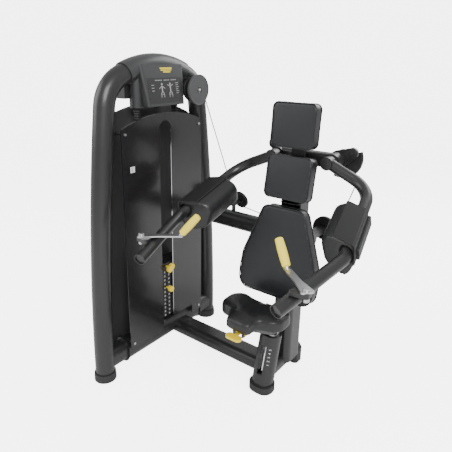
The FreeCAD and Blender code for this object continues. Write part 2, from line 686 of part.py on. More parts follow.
def make_seat_frame(posts):
    x, y, z = Vector(1, 0, 0), Vector(0, 1, 0), Vector(0, 0, 1)
    column = column_solid(COLUMN_W, COLUMN_D, COLUMN_D / 2 - 2, FOOT_FLOOR, COLUMN_TOP)
    bore = column_solid(INNER_W + 2 * INNER_FIT, INNER_D + 2 * INNER_FIT, 24, 60, COLUMN_TOP + 20)
    slot_z0, slot_z1 = 84.0, 216.0
    front = column_centre(150).y - COLUMN_D / 2
    slot = box(-16, 10, front - 40, front + 52, slot_z0, slot_z1)
    beam_out = beam_solid(BEAM_W, BEAM_H)
    beam_in = beam_solid(BEAM_W - 2 * TUBE_WALL, BEAM_H - 2 * TUBE_WALL)
    parts["front_column"] = column.cut(bore).cut(slot)
    cross = crossbar_solid(CROSSBAR_W, CROSSBAR_H, 0, POST_SPACING)
    rail = oval_bar(Vector(0, COLUMN_Y, BEAM_Z), x, z, RAIL_W, RAIL_H, RAIL_W / 2 - 4,
                    Vector(0, RAIL_END - COLUMN_Y, 0))
    rail_in = oval_bar(Vector(0, COLUMN_Y, BEAM_Z), x, z, RAIL_W - 8, RAIL_H - 8, RAIL_W / 2 - 8,
                       Vector(0, RAIL_END - COLUMN_Y + 1, 0))
    base = beam_out.cut(beam_in).fuse(rail).cut(rail_in).cut(cross).cut(column)
    upright = oval_bar(Vector(0, UPRIGHT_Y, BEAM_Z), x, y, UPRIGHT_W, UPRIGHT_D, 34,
                       Vector(0, 0, UPRIGHT_TOP - BEAM_Z))
    inner = oval_bar(Vector(0, UPRIGHT_Y, BEAM_Z - 1), x, y, UPRIGHT_W - 10, UPRIGHT_D - 10, 29,
                     Vector(0, 0, UPRIGHT_TOP - BEAM_Z + 2))
    grooves = []
    for gx in (-22.0, 0.0, 22.0):
        grooves.append(box(gx - 1.5, gx + 1.5, UPRIGHT_Y - UPRIGHT_D / 2 - 1, UPRIGHT_Y - UPRIGHT_D / 2 + 2,
                           BEAM_Z, UPRIGHT_TOP))
    parts["base_beam"] = base
    upright = upright.cut(inner).cut(group(grooves)).cut(rail).cut(beam_out).cut(pad_room())
    parts["upright"] = upright
    link = rod(Vector(TOWER_X, LINK_Y, LINK_Z), x, LINK_R, UPRIGHT_W / 2 - TOWER_X)
    run = UPRIGHT_W / 2 - TUBE_WALL - TOWER_X
    link_in = rod(Vector(TOWER_X, LINK_Y, LINK_Z), x, LINK_R - TUBE_WALL, run)
    solid_upright = oval_bar(Vector(0, UPRIGHT_Y, BEAM_Z), x, y, UPRIGHT_W, UPRIGHT_D, 34,
                             Vector(0, 0, UPRIGHT_TOP - BEAM_Z))
    parts["link_tube"] = link.cut(link_in).cut(posts).cut(solid_upright)
    feet = [rubber_foot(TOWER_X, y, FOOT_R, FOOT_H, POST_R) for y in (0, POST_SPACING)]
    feet = [f.cut(posts) for f in feet]
    foot = oval_bar(Vector(0, column_centre(12).y, 0), x, y, COLUMN_W + 16, COLUMN_D + 18, COLUMN_D / 2 + 4,
                    Vector(0, 0, FOOT_H - 4))
    feet.append(foot.cut(column).cut(rail))
    cap = oval_bar(Vector(0, RAIL_END - 26, 0), x, y, RAIL_W + 18, 66, 20, Vector(0, 0, 74))
    feet.append(cap.cut(rail).cut(solid_upright))
    parts["rubber_feet"] = group(feet)
    make_crossbeam()


def make_crossbeam():
    x, y, z = Vector(1, 0, 0), Vector(0, 1, 0), Vector(0, 0, 1)
    y0 = HUB_Y0 + HUB_L + HUB_GAP
    beam = oval_bar(Vector(-PIVOT_X, y0 + HOUSING_L / 2, PIVOT_Z), y, z, HOUSING_L - 8, 62, 14,
                    Vector(2 * PIVOT_X, 0, 0))
    for s in (-1, 1):
        beam = beam.fuse(rod(Vector(s * PIVOT_X, y0, PIVOT_Z), y, HOUSING_R, HOUSING_L))
    for s in (-1, 1):
        beam = beam.cut(rod(Vector(s * PIVOT_X, 0, PIVOT_Z), y, SHAFT_R + SHAFT_FIT, 1000))
    solid_upright = oval_bar(Vector(0, UPRIGHT_Y, BEAM_Z), x, y, UPRIGHT_W, UPRIGHT_D, 34,
                             Vector(0, 0, UPRIGHT_TOP - BEAM_Z))
    parts["crossbeam"] = beam.cut(solid_upright)


# ---- pads ------------------------------------------------------------
def leaning(shape, y, z, degrees):
    """Turn a piece drawn upright so that it leans back about its lower front edge."""
    shape.rotate(Vector(0, y, z), Vector(1, 0, 0), -degrees)
    return shape


def pad_block(half, y, z, h, t, r):
    pts = [Vector(-half, y, z), Vector(half, y, z), Vector(half, y, z + h), Vector(-half, y, z + h)]
    block = plate(pts, [r] * 4, Vector(0, t, 0))
    return block


def shield_outline(y, inset):
    low, top = BACK_PAD_LOW_HALF - inset, BACK_PAD_TOP_HALF - inset
    z0, z1 = BACK_PAD_Z0 + inset, BACK_PAD_Z1 - inset
    waist = z0 + 0.42 * (z1 - z0)
    pts = [Vector(-low + 8, y, z0), Vector(low - 8, y, z0), Vector(low, y, z0 + 80),
           Vector(low - 7, y, waist), Vector(top, y, z1), Vector(-top, y, z1),
           Vector(-low + 7, y, waist), Vector(-low, y, z0 + 80)]
    return pts, [52, 52, 100, 160, 40, 40, 160, 100]


def make_pads():
    pts, radii = shield_outline(BACK_PAD_Y, 0)
    slab = plate(pts, radii, Vector(0, PAD_T, 0))
    parts["back_pad"] = leaning(slab, BACK_PAD_Y, BACK_PAD_Z0, BACK_PAD_LEAN)
    boards = []
    pts, radii = shield_outline(BACK_PAD_Y + PAD_T, 12)
    boards.append(leaning(plate(pts, radii, Vector(0, BOARD_T, 0)), BACK_PAD_Y, BACK_PAD_Z0, BACK_PAD_LEAN))
    rows = (("mid_pad", MID_PAD_HALF, MID_PAD_Y, MID_PAD_Z0, MID_PAD_H, MID_PAD_LEAN),
            ("head_pad", HEAD_PAD_HALF, HEAD_PAD_Y, HEAD_PAD_Z0, HEAD_PAD_H, HEAD_PAD_LEAN))
    for name, half, y, z, h, lean in rows:
        parts[name] = leaning(pad_block(half, y, z, h, PAD_T, PAD_CORNER), y, z, lean)
        board = pad_block(half - 12, y + PAD_T, z + 12, h - 24, BOARD_T, PAD_CORNER - 6)
        boards.append(leaning(board, y, z, lean))
    # spine behind the boards, from the upright's top to the head pad
    spine_front = MID_PAD_Y + PAD_T + BOARD_T + 34
    spine = plate([Vector(-30, spine_front, 860), Vector(30, spine_front, 860),
                   Vector(30, spine_front, 1270), Vector(-30, spine_front, 1270)],
                  [4, 4, 24, 24], Vector(0, 16, 0))
    blocks = []
    solid = boards[0].multiFuse(boards[1:] + [parts["back_pad"], parts["mid_pad"], parts["head_pad"]])
    upright_front = UPRIGHT_Y - UPRIGHT_D / 2
    low_pad = (BACK_PAD_Y, BACK_PAD_Z0, BACK_PAD_LEAN)
    mid_pad = (MID_PAD_Y, MID_PAD_Z0, MID_PAD_LEAN)
    head_pad = (HEAD_PAD_Y, HEAD_PAD_Z0, HEAD_PAD_LEAN)
    rows = (low_pad + (130.0, upright_front + 1), low_pad + (370.0, upright_front + 1),
            mid_pad + (40.0, spine_front + 1), mid_pad + (140.0, spine_front + 1),
            head_pad + (40.0, spine_front + 1), head_pad + (140.0, spine_front + 1))
    for y, z, lean, up, end in rows:
        inside = y + up * math.tan(math.radians(lean)) + 0.5 * PAD_T
        blocks.append(box(-24, 24, inside, end, z + up - 14, z + up + 14))
    solid_upright = oval_bar(Vector(0, UPRIGHT_Y, BEAM_Z), Vector(1, 0, 0), Vector(0, 1, 0), UPRIGHT_W,
                             UPRIGHT_D, 34, Vector(0, 0, UPRIGHT_TOP - BEAM_Z))
    spine_all = spine.multiFuse(blocks).cut(solid).cut(solid_upright).cut(parts["crossbeam"])
    parts["pad_spine"] = spine_all
    parts["pad_boards"] = group(boards)


# ---- seat ------------------------------------------------------------
def make_seat():
    x = Vector(1, 0, 0)
    z0 = SEAT_TOP - SEAT_T
    outline = [Vector(-NOSE_HALF, SEAT_FRONT, z0), Vector(NOSE_HALF, SEAT_FRONT, z0),
               Vector(NOSE_HALF + 14, SEAT_FRONT + 62, z0), Vector(SEAT_HALF, SEAT_FRONT + 80, z0),
               Vector(SEAT_HALF, SEAT_BACK - 20, z0), Vector(-SEAT_HALF, SEAT_BACK - 20, z0),
               Vector(-SEAT_HALF, SEAT_FRONT + 80, z0), Vector(-NOSE_HALF - 14, SEAT_FRONT + 62, z0)]
    pad = plate(outline, [26, 26, 30, 62, 62, 62, 62, 30], Vector(0, 0, SEAT_T))
    parts["seat_pad"] = pad
    pan_half = NOSE_HALF - 10
    pan = plate([Vector(-pan_half, SEAT_FRONT + 20, z0 - 6), Vector(pan_half, SEAT_FRONT + 20, z0 - 6),
                 Vector(pan_half, SEAT_BACK - 40, z0 - 6), Vector(-pan_half, SEAT_BACK - 40, z0 - 6)],
                [16, 16, 16, 16], Vector(0, 0, 6))
    axis = lean_axis()
    top = 330.0
    inner = column_solid(INNER_W, INNER_D, 23, 96, top)
    bed = column_centre(40) - axis.cross(x) * SPRING_OFF + x * SPRING_X
    channel = rod(bed, axis, SPRING_R + 1.5, 300)
    deep = INNER_D / 2 - SPRING_OFF + 5
    mouth = bed - axis.cross(x) * (deep / 2)
    channel = channel.fuse(oval_bar(mouth, x, axis.cross(x), 2 * SPRING_R + 3, deep, 0.5, axis * 300))
    inner = inner.cut(channel)
    web = plate([Vector(-34, SEAT_FRONT + 52, z0 - 6), Vector(-34, column_centre(z0 - 6).y - 30, z0 - 6),
                 Vector(-34, column_centre(270).y + 10, 270), Vector(-34, column_centre(270).y - 26, 270)],
                [3, 3, 3, 10], Vector(68, 0, 0))
    column = column_solid(COLUMN_W, COLUMN_D, COLUMN_D / 2 - 2, FOOT_FLOOR, COLUMN_TOP + 2)
    parts["seat_tube"] = inner
    parts["seat_carriage"] = pan.fuse(web).cut(column).cut(inner)
    # release lever under the nose: a stem on a cross pin and an oval paddle
    pin = rod(Vector(-30, LEVER_Y + 40, LEVER_Z), x, 5, 60)
    stem = box(-7, 7, LEVER_Y, LEVER_Y + 46, LEVER_Z - 3, LEVER_Z + 3)
    paddle = oval_bar(Vector(0, LEVER_Y - 4, LEVER_Z - 5), x, Vector(0, 1, 0), 72, 34, 16.5, Vector(0, 0, 10))
    parts["seat_lever"] = pin.fuse([stem, paddle])
    ears = []
    for s in (-1, 1):
        ear = box(s * 22 - 4, s * 22 + 4, LEVER_Y + 26, LEVER_Y + 54, LEVER_Z - 10, z0 - 6)
        ears.append(ear.cut(rod(Vector(-60, LEVER_Y + 40, LEVER_Z), x, 5 + BOLT_FIT, 120)))
    parts["seat_carriage"] = parts["seat_carriage"].fuse(ears)
    # gas spring inside the column's slot
    p = column_centre(88) - axis.cross(x) * SPRING_OFF + x * SPRING_X
    spring = rod(p, axis, SPRING_R, 84).fuse(rod(p + axis * 84, axis, 4, 60))
    parts["gas_spring"] = spring


# ---- arms ------------------------------------------------------------
def arm_frame():
    """Corner points of the left arm and the frame of its pad stretch."""
    p = [Vector(*q) for q in ARM_BENDS]
    along = unit(p[2] - p[1])
    out = unit(along.cross(Vector(0, 1, 0).cross(along)) * -1)
    return p, along


def make_arms():
    y = Vector(0, 1, 0)
    p, along = arm_frame()
    wire, hubs = route(p, list(ARM_BEND_R))
    outer = tube_along(wire, ARM_R)
    inner = tube_along(wire, ARM_R - ARM_WALL)
    hub = rod(Vector(PIVOT_X, HUB_Y0, PIVOT_Z), y, HUB_R, HUB_L)
    bore = rod(Vector(PIVOT_X, HUB_Y0 - 1, PIVOT_Z), y, SHAFT_R, HUB_L + 2)
    tube = outer.cut(inner)
    end = p[3]
    d = unit(p[3] - p[2])
    # lug beside the tube that carries the handle's pivot bolt
    top_z = GRIP_BASE[2] - BRACKET_T / 2 - CLEAR
    hx, hy = HANDLE_PIVOT
    lug = plate([Vector(hx - 52, hy - 26, top_z), Vector(hx + 14, hy - 18, top_z),
                 Vector(hx + 14, hy + 18, top_z),
                 Vector(hx - 34, hy + 46, top_z)], [6, 12, 12, 6], Vector(0, 0, -16))
    bolt_hole = rod(Vector(hx, hy, top_z - 40), Vector(0, 0, 1), PIVOT_BOLT_R, 60)
    arm = tube.fuse(hub).fuse(lug.cut(outer)).cut(bore).cut(bolt_hole)
    arm = arm.cut(rod(Vector(PIVOT_X, HUB_Y0 - 1, PIVOT_Z), y, SHAFT_R, HUB_L + 2))
    plug = rod(end - d * 14, d, ARM_R - ARM_WALL, 8)
    both("arm_tube", arm.fuse(plug))
    # shaft through hub and housing, with its end cap
    y_end = DRUM_Y + DRUM_T / 2 + 10
    shaft = rod(Vector(PIVOT_X, HUB_Y0, PIVOT_Z), y, SHAFT_R, y_end - HUB_Y0)
    cap = rod(Vector(PIVOT_X, HUB_Y0 - 5, PIVOT_Z), y, HUB_R - 3, 5)
    both("arm_shaft", shaft.fuse(cap))
    # cable drum and the cam plate with its stop lever
    c = Vector(PIVOT_X, DRUM_Y, PIVOT_Z)
    drum = grooved_wheel(c, y, DRUM_R, DRUM_T, SHAFT_R)
    reach = 3 * DRUM_R
    rays = [c + Vector(reach * math.cos(math.radians(a)), -DRUM_T, reach * math.sin(math.radians(a)))
            for a in (SECTOR_END, SECTOR_START - 60, SECTOR_START)]
    wedge = Part.Face(Part.makePolygon([c - y * DRUM_T] + rays + [c - y * DRUM_T]))
    core = rod(c - y * (DRUM_T / 2), y, 38, DRUM_T).cut(rod(c - y * DRUM_T, y, SHAFT_R, 2 * DRUM_T))
    drum = drum.common(wedge.extrude(y * (2 * DRUM_T))).fuse(core).removeSplitter()
    both("arm_drum", drum)
    cam_y = HUB_Y0 + HUB_L + HUB_GAP + HOUSING_L + 1
    cam = rod(Vector(PIVOT_X, cam_y, PIVOT_Z), y, 40, 16)
    nose = Vector(PIVOT_X + 60, cam_y, PIVOT_Z + 34)
    lobe = rod(nose, y, 24, 16)
    side = unit(Vector(nose.x - PIVOT_X, 0, nose.z - PIVOT_Z).cross(y))
    a, b = Vector(PIVOT_X, cam_y, PIVOT_Z), nose
    rim = [a + side * 40, b + side * 24, b - side * 24, a - side * 40, a + side * 40]
    web = Part.Face(Part.makePolygon(rim))
    cam = cam.fuse([lobe, web.extrude(Vector(0, 16, 0))]).removeSplitter()
    cam = cam.cut(rod(Vector(PIVOT_X, cam_y - 1, PIVOT_Z), y, SHAFT_R, 30))
    cam = cam.fuse(rod(nose - y * 6, y, 8, 6))
    both("cam_plate", cam)
    make_handle(top_z)
    make_arm_pad(p, along, wire)


def make_handle(top_z):
    z = top_z + CLEAR
    hx, hy = HANDLE_PIVOT
    g0, g1 = Vector(*GRIP_BASE), Vector(*GRIP_END)
    bar = unit(Vector(g0.x - hx, g0.y - hy, 0))
    side = bar.cross(Vector(0, 0, 1))
    a, b = Vector(hx, hy, z), Vector(g0.x, g0.y, z)
    pts = [a - bar * 14 - side * 24, a - bar * 14 + side * 24, a + bar * 66 + side * 13,
           b + bar * 14 + side * 13, b + bar * 14 - side * 13, a + bar * 66 - side * 13]
    stem = plate(pts, [8, 8, 20, 8, 8, 20], Vector(0, 0, BRACKET_T))
    bolt = rod(Vector(hx, hy, z + BRACKET_T), Vector(0, 0, -1), PIVOT_BOLT_R - BOLT_FIT, BRACKET_T + 30)
    head = rod(Vector(hx, hy, z + BRACKET_T), Vector(0, 0, 1), 11, 8)
    knob = rod(Vector(hx, hy, top_z - 17), Vector(0, 0, -1), 12, 14)
    core = g1 - g0
    tang = rod(g0 - Vector(0, 0, BRACKET_T / 2), core, 7, core.Length - 4)
    both("handle_bar", stem.fuse([bolt, head, knob, tang]))
    grip_start = g0 + unit(core) * 10
    grip = rod(grip_start, core, GRIP_R, core.Length - 8)
    grip = grip.makeFillet(6, [e for e in grip.Edges if e.Closed])
    both("grip", grip.cut(parts["left_handle_bar"]))


def make_arm_pad(p, along, wire):
    """Housing that wraps the arm's middle stretch: a rigid shell on top, a moulded cushion inside."""
    inward = unit(Vector(-1, 0, 0) + along * along.x)
    rise = unit(inward.cross(along))
    if rise.z < 0:
        rise = rise * -1
    start = p[1] + along * PAD_START
    room = tube_along(wire, ARM_R + CLEAR)

    def at(u, v):
        return start + inward * u + rise * v

    side = ARM_R + CLEAR + SHELL_T
    top = PAD_UP - SHELL_T - CLEAR
    cushion = plate([at(-side + SHELL_T + CLEAR, top), at(PAD_RIDGE, top), at(PAD_BELLY, 0.3 * PAD_UP),
                     at(PAD_BELLY - 22, -PAD_DOWN + 8), at(4, -PAD_DOWN), at(-side + SHELL_T + CLEAR, -ARM_R - 12)],
                    [6, 16, 44, 34, 34, 10], along * PAD_LEN)
    big = 3 * PAD_BELLY
    ends = []
    for s, lean in ((-1, 0.0), (1, 0.3)):
        n = unit(along + inward * PAD_SKEW + rise * lean)
        c = start + along * (PAD_LEN / 2 + s * (PAD_LEN / 2 - 22))
        u = unit(n.cross(rise))
        v = n.cross(u)
        corners = [c - u * big - v * big, c + u * big - v * big, c + u * big + v * big, c - u * big + v * big]
        ends.append(plate(corners, [0] * 4, n * (s * big)))
    room = room.fuse(ends)
    both("arm_pad", cushion.cut(room))
    shell = plate([at(-side, PAD_UP), at(PAD_RIDGE + 6, PAD_UP), at(PAD_RIDGE + 6, PAD_UP - SHELL_T),
                   at(-side + SHELL_T, PAD_UP - SHELL_T), at(-side + SHELL_T, -ARM_R - 6), at(-side, -ARM_R - 6)],
                  [9, 3, 3, 3, 3, 3], along * PAD_LEN)
    clamp = plate([at(-side - 9, 12), at(-side + 2, 12), at(-side + 2, -ARM_R - 10), at(-side - 9, -ARM_R - 10)],
                  [5, 1, 1, 5], along * (PAD_LEN - 70))
    clamp.translate(along * 35)
    both("pad_shell", shell.cut(room).fuse(clamp).cut(tube_along(wire, ARM_R + CLEAR)))


# ---- build ------------------------------------------------------------
posts_solid = make_tower()
make_stack()
pulley_hubs = make_cable(posts_solid)
print_hubs(pulley_hubs)
make_seat_frame(posts_solid)
make_brackets(pulley_hubs, posts_solid)
make_pads()
make_seat()
make_arms()

whole = Part.makeCompound(list(parts.values())).optimalBoundingBox(False, False)
SHIFT = Vector(-0.5 * (whole.XMin + whole.XMax), -0.5 * (whole.YMin + whole.YMax), -whole.ZMin)
os.makedirs("parts", exist_ok=True)
for node, shape in parts.items():
    shape.translate(SHIFT)
    shape.exportStep("parts/" + node + ".step")
    told = (node, len(shape.Solids), shape.Volume, shape.isValid())
    print("%-24s solids %2d volume %10.0f valid %s" % told)
print(len(parts), "nodes, shift", [round(v, 2) for v in SHIFT])
print("size", [round(v, 1) for v in (whole.XLength, whole.YLength, whole.ZLength)])
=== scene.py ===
# %% [markdown]
# # A seated deltoid machine: its looks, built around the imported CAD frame
# The CAD frame fixes every tube, plate, pulley and joint. This script adds what a drawing can't
# hold: stuffed pads, piping, seams, labels, and a material for every surface.

# %% Load the frame
import math

import bmesh
import bpy
import numpy as np
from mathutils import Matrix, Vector


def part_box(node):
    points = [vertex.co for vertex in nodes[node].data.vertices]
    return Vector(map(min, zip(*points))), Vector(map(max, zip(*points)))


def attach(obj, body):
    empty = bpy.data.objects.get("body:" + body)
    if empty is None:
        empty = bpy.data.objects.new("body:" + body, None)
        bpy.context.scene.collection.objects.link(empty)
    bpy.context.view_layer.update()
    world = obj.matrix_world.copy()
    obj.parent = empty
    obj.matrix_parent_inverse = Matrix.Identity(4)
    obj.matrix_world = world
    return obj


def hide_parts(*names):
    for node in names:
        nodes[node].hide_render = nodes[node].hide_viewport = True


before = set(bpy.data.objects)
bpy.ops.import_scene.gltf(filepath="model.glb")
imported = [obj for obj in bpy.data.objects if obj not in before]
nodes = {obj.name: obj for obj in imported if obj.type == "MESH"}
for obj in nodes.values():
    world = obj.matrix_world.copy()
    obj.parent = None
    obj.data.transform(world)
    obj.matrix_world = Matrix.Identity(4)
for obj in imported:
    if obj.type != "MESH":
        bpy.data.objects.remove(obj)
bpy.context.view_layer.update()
print("CAD nodes:", len(nodes))

# %% [markdown]
# ## Materials
# Every surface is procedural and reads Object coordinates. `finish` builds one: a base colour that
# drifts a little, a roughness that drifts with it, and a fine bump for the grain of the surface.

# %% Materials
def finish(name, colour, rough, metal=0.0, coat=0.0, drift=0.05, grain=900.0, bump=0.03, rough_drift=0.05):
    """Material whose colour is colour*(1 +/- drift) and roughness rough +/- rough_drift, from soft noise."""
    mat = bpy.data.materials.new(name)
    mat.use_nodes = True
    tree = mat.node_tree
    shader = tree.nodes["Principled BSDF"]
    shader.inputs["Metallic"].default_value = metal
    shader.inputs["Coat Weight"].default_value = coat
    shader.inputs["Coat Roughness"].default_value = 0.12
    coords = tree.nodes.new("ShaderNodeTexCoord")
    broad = tree.nodes.new("ShaderNodeTexNoise")
    broad.inputs["Scale"].default_value = 6.0
    broad.inputs["Detail"].default_value = 5.0
    tree.links.new(coords.outputs["Object"], broad.inputs["Vector"])
    mix = tree.nodes.new("ShaderNodeMix")
    mix.data_type = "RGBA"
    mix.inputs[6].default_value = [c * (1 - drift) for c in colour] + [1]
    mix.inputs[7].default_value = [min(1.0, c * (1 + drift)) for c in colour] + [1]
    tree.links.new(broad.outputs["Fac"], mix.inputs[0])
    tree.links.new(mix.outputs[2], shader.inputs["Base Color"])
    span = tree.nodes.new("ShaderNodeMapRange")
    span.inputs["To Min"].default_value = max(0.02, rough - rough_drift)
    span.inputs["To Max"].default_value = min(1.0, rough + rough_drift)
    tree.links.new(broad.outputs["Fac"], span.inputs["Value"])
    tree.links.new(span.outputs["Result"], shader.inputs["Roughness"])
    if bump > 0:
        fine = tree.nodes.new("ShaderNodeTexNoise")
        fine.inputs["Scale"].default_value = grain
        fine.inputs["Detail"].default_value = 2.0
        tree.links.new(coords.outputs["Object"], fine.inputs["Vector"])
        relief = tree.nodes.new("ShaderNodeBump")
        relief.inputs["Strength"].default_value = bump
        relief.inputs["Distance"].default_value = 0.001
        tree.links.new(fine.outputs["Fac"], relief.inputs["Height"])
        tree.links.new(relief.outputs["Normal"], shader.inputs["Normal"])
    return mat


PAINT = finish("paint_anthracite", (0.013, 0.013, 0.0135), 0.36, coat=0.20, grain=1400, bump=0.05)
CROWN = finish("crown_grey", (0.026, 0.027, 0.028), 0.36, coat=0.15, bump=0.04)
DISC = finish("disc_grey", (0.055, 0.056, 0.057), 0.40, bump=0.04)
SMOKED = finish("smoked_panel", (0.011, 0.010, 0.011), 0.22, coat=0.3, drift=0.15, bump=0.0)
REAR = finish("rear_panel", (0.045, 0.045, 0.045), 0.35, coat=0.2, bump=0.03)
RUBBER = finish("rubber", (0.018, 0.018, 0.019), 0.60, grain=600, bump=0.12)
IRON = finish("stack_iron", (0.010, 0.010, 0.0105), 0.42, grain=700, bump=0.10)
CHROME = finish("chrome", (0.78, 0.78, 0.79), 0.10, metal=1.0, bump=0.0, drift=0.02)
STEEL = finish("zinc_steel", (0.58, 0.58, 0.59), 0.32, metal=1.0, bump=0.03, grain=500)
CABLE = finish("cable_sheath", (0.008, 0.008, 0.0085), 0.42, grain=2500, bump=0.05)
WHEEL = finish("wheel_nylon", (0.012, 0.012, 0.0125), 0.42, bump=0.04)
VINYL = finish("vinyl_blue_black", (0.0085, 0.0095, 0.0118), 0.40, coat=0.10, grain=1100, bump=0.22, drift=0.08)
PIPING = finish("piping", (0.006, 0.0065, 0.008), 0.36, coat=0.1, grain=1500, bump=0.10)
MOULDED = finish("moulded_foam", (0.0085, 0.0088, 0.0095), 0.40, coat=0.08, grain=1600, bump=0.18, drift=0.08)
BOARD = finish("board_black", (0.008, 0.008, 0.0085), 0.50, bump=0.08)
YELLOW = finish("yellow_knob", (0.90, 0.64, 0.010), 0.30, coat=0.3, bump=0.0)
GRIP = finish("grip_pale_yellow", (0.95, 0.76, 0.06), 0.48, grain=1400, bump=0.12)
PANEL = finish("placard_face", (0.012, 0.012, 0.013), 0.28, coat=0.3, bump=0.0)
WHITE = finish("label_white", (0.80, 0.80, 0.79), 0.45, bump=0.0, drift=0.02)
DIM = finish("label_dim", (0.30, 0.30, 0.30), 0.45, bump=0.0, drift=0.02)
INK = finish("label_ink", (0.02, 0.02, 0.022), 0.5, bump=0.0)
BADGE = finish("badge_yellow", (0.78, 0.62, 0.02), 0.35, bump=0.0, drift=0.02)

LOOK = {
    "crown_cover": CROWN, "placard_housing": CROWN, "front_cover": SMOKED, "rear_cover": REAR, "cover_screws": STEEL,
    "rubber_feet": RUBBER, "stack_bumpers": RUBBER, "rod_bellows": RUBBER, "weight_plates_resting": IRON,
    "weight_plates_lifted": IRON, "head_plate": IRON, "selector_rod": CHROME, "guide_rods": CHROME,
    "selector_pin": YELLOW, "increment_knob": YELLOW, "stack_cable": CABLE, "main_cable": CABLE,
    "stack_pulley": WHEEL, "top_pulley": WHEEL, "low_pulley": WHEEL, "back_pulley": WHEEL, "pulley_disc": DISC,
    "back_pad": VINYL, "mid_pad": VINYL, "head_pad": VINYL, "pad_boards": BOARD, "seat_pad": MOULDED,
    "seat_tube": STEEL, "gas_spring": CHROME, "seat_lever": YELLOW, "rod_sleeves": CROWN,
}
for side in ("left_", "right_"):
    LOOK.update({side + "arm_shaft": PAINT, side + "arm_drum": WHEEL, side + "pad_shell": BOARD,
                 side + "arm_pad": MOULDED, side + "handle_bar": STEEL, side + "grip": GRIP})
for name, obj in nodes.items():
    obj.data.materials.clear()
    obj.data.materials.append(LOOK.get(name, PAINT))

# %% [markdown]
# ## Tools for new pieces
# A piece is a mesh in the same place as the frame, in metres, that rides on one body.

# %% Tools
def piece(name, verts, faces, mat, body, smooth=True):
    """New mesh object from arrays of corner points and faces."""
    mesh = bpy.data.meshes.new(name)
    mesh.from_pydata(np.asarray(verts, float).tolist(), [], [list(map(int, f)) for f in faces])
    mesh.update()
    mesh.polygons.foreach_set("use_smooth", [smooth] * len(mesh.polygons))
    mesh.materials.append(mat)
    obj = bpy.data.objects.new(name, mesh)
    bpy.context.scene.collection.objects.link(obj)
    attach(obj, body)
    return obj


def grid_faces(rows, cols, close_rows=False, close_cols=True):
    """Faces of a grid of points, wrapped round in either direction."""
    i, j = np.meshgrid(np.arange(rows if close_rows else rows - 1), np.arange(cols if close_cols else cols - 1),
                       indexing="ij")
    a = i * cols + j
    b = i * cols + (j + 1) % cols
    c = ((i + 1) % rows) * cols + (j + 1) % cols
    d = ((i + 1) % rows) * cols + j
    return np.stack([a, b, c, d], -1).reshape(-1, 4)


def resample(loop, count):
    """Closed loop of points spread evenly by length."""
    closed = np.vstack([loop, loop[:1]])
    run = np.concatenate([[0], np.cumsum(np.linalg.norm(np.diff(closed, axis=0), axis=1))])
    at = np.linspace(0, run[-1], count, endpoint=False)
    return np.stack([np.interp(at, run, closed[:, k]) for k in range(3)], -1)


def ring_tube(name, loop, normal, radius, mat, body, sides=12):
    """Tube round a closed loop: p + r*(cos t * side + sin t * normal)."""
    ahead = np.roll(loop, -1, 0) - np.roll(loop, 1, 0)
    ahead /= np.linalg.norm(ahead, axis=1)[:, None]
    side = np.cross(ahead, normal)
    t = np.linspace(0, 2 * math.pi, sides, endpoint=False)
    verts = loop[:, None] + radius * (np.cos(t)[None, :, None] * side[:, None] + np.sin(t)[None, :, None] * normal)
    return piece(name, verts.reshape(-1, 3), grid_faces(len(loop), sides, True, True)[:, ::-1], mat, body)


def solid_copy(node, name):
    """Closed copy of a CAD node's mesh, its doubled points merged."""
    obj = bpy.data.objects.new(name, nodes[node].data.copy())
    bpy.context.scene.collection.objects.link(obj)
    bm = bmesh.new()
    bm.from_mesh(obj.data)
    bmesh.ops.remove_doubles(bm, verts=bm.verts, dist=1e-5)
    bm.to_mesh(obj.data)
    bm.free()
    return obj


def points(obj):
    """Mesh points as an array."""
    co = np.empty(len(obj.data.vertices) * 3)
    obj.data.vertices.foreach_get("co", co)
    return co.reshape(-1, 3)


def set_points(obj, co):
    """Move the mesh points to an array of places."""
    obj.data.vertices.foreach_set("co", np.asarray(co, float).ravel())
    obj.data.update()


def apply_modifiers(obj):
    """Apply every modifier in order."""
    bpy.context.view_layer.objects.active = obj
    for o in bpy.context.selected_objects:
        o.select_set(False)
    obj.select_set(True)
    for m in list(obj.modifiers):
        bpy.ops.object.modifier_apply(modifier=m.name)


def front_normal(obj):
    """Mean normal of the faces that look at the user."""
    n = np.empty(len(obj.data.polygons) * 3)
    obj.data.polygons.foreach_get("normal", n)
    n = n.reshape(-1, 3)
    area = np.empty(len(obj.data.polygons))
    obj.data.polygons.foreach_get("area", area)
    pick = n[:, 1] < -0.9
    mean = (n[pick] * area[pick, None]).sum(0)
    return mean / np.linalg.norm(mean)


# %% [markdown]
# ## Stuffed pads
# Each back pad starts as its CAD slab, a few millimetres small. It is remeshed and blown up as cloth
# with its back and its piping line held, so the front crowns and the side band swells between them.

# %% Pads
def swell(obj, hold, pressure, cap, frames=20):
    """Cloth under pressure; each point may move no further than cap, by cap*tanh(d/cap)."""
    start = points(obj)
    group = obj.vertex_groups.new(name="hold")
    group.add([int(i) for i in np.flatnonzero(hold)], 1.0, "REPLACE")
    cloth = obj.modifiers.new("cloth", "CLOTH")
    cloth.settings.use_pressure = True
    cloth.settings.uniform_pressure_force = pressure
    cloth.settings.vertex_group_mass = "hold"
    cloth.settings.tension_stiffness = 12
    cloth.settings.compression_stiffness = 12
    cloth.settings.shear_stiffness = 6
    cloth.settings.bending_stiffness = 2
    cloth.settings.effector_weights.gravity = 0
    cloth.collision_settings.use_collision = False
    for f in range(1, frames + 1):
        bpy.context.scene.frame_set(f)
    apply_modifiers(obj)
    move = points(obj) - start
    d = np.linalg.norm(move, axis=1)
    scale = np.where(d > 1e-9, cap * np.tanh(d / cap) / np.maximum(d, 1e-9), 1.0)
    set_points(obj, start + move * scale[:, None])
    bpy.context.scene.frame_set(1)
    print(obj.name, "points", len(d), "largest move %.1f mm" % (1000 * (d * scale).max()))


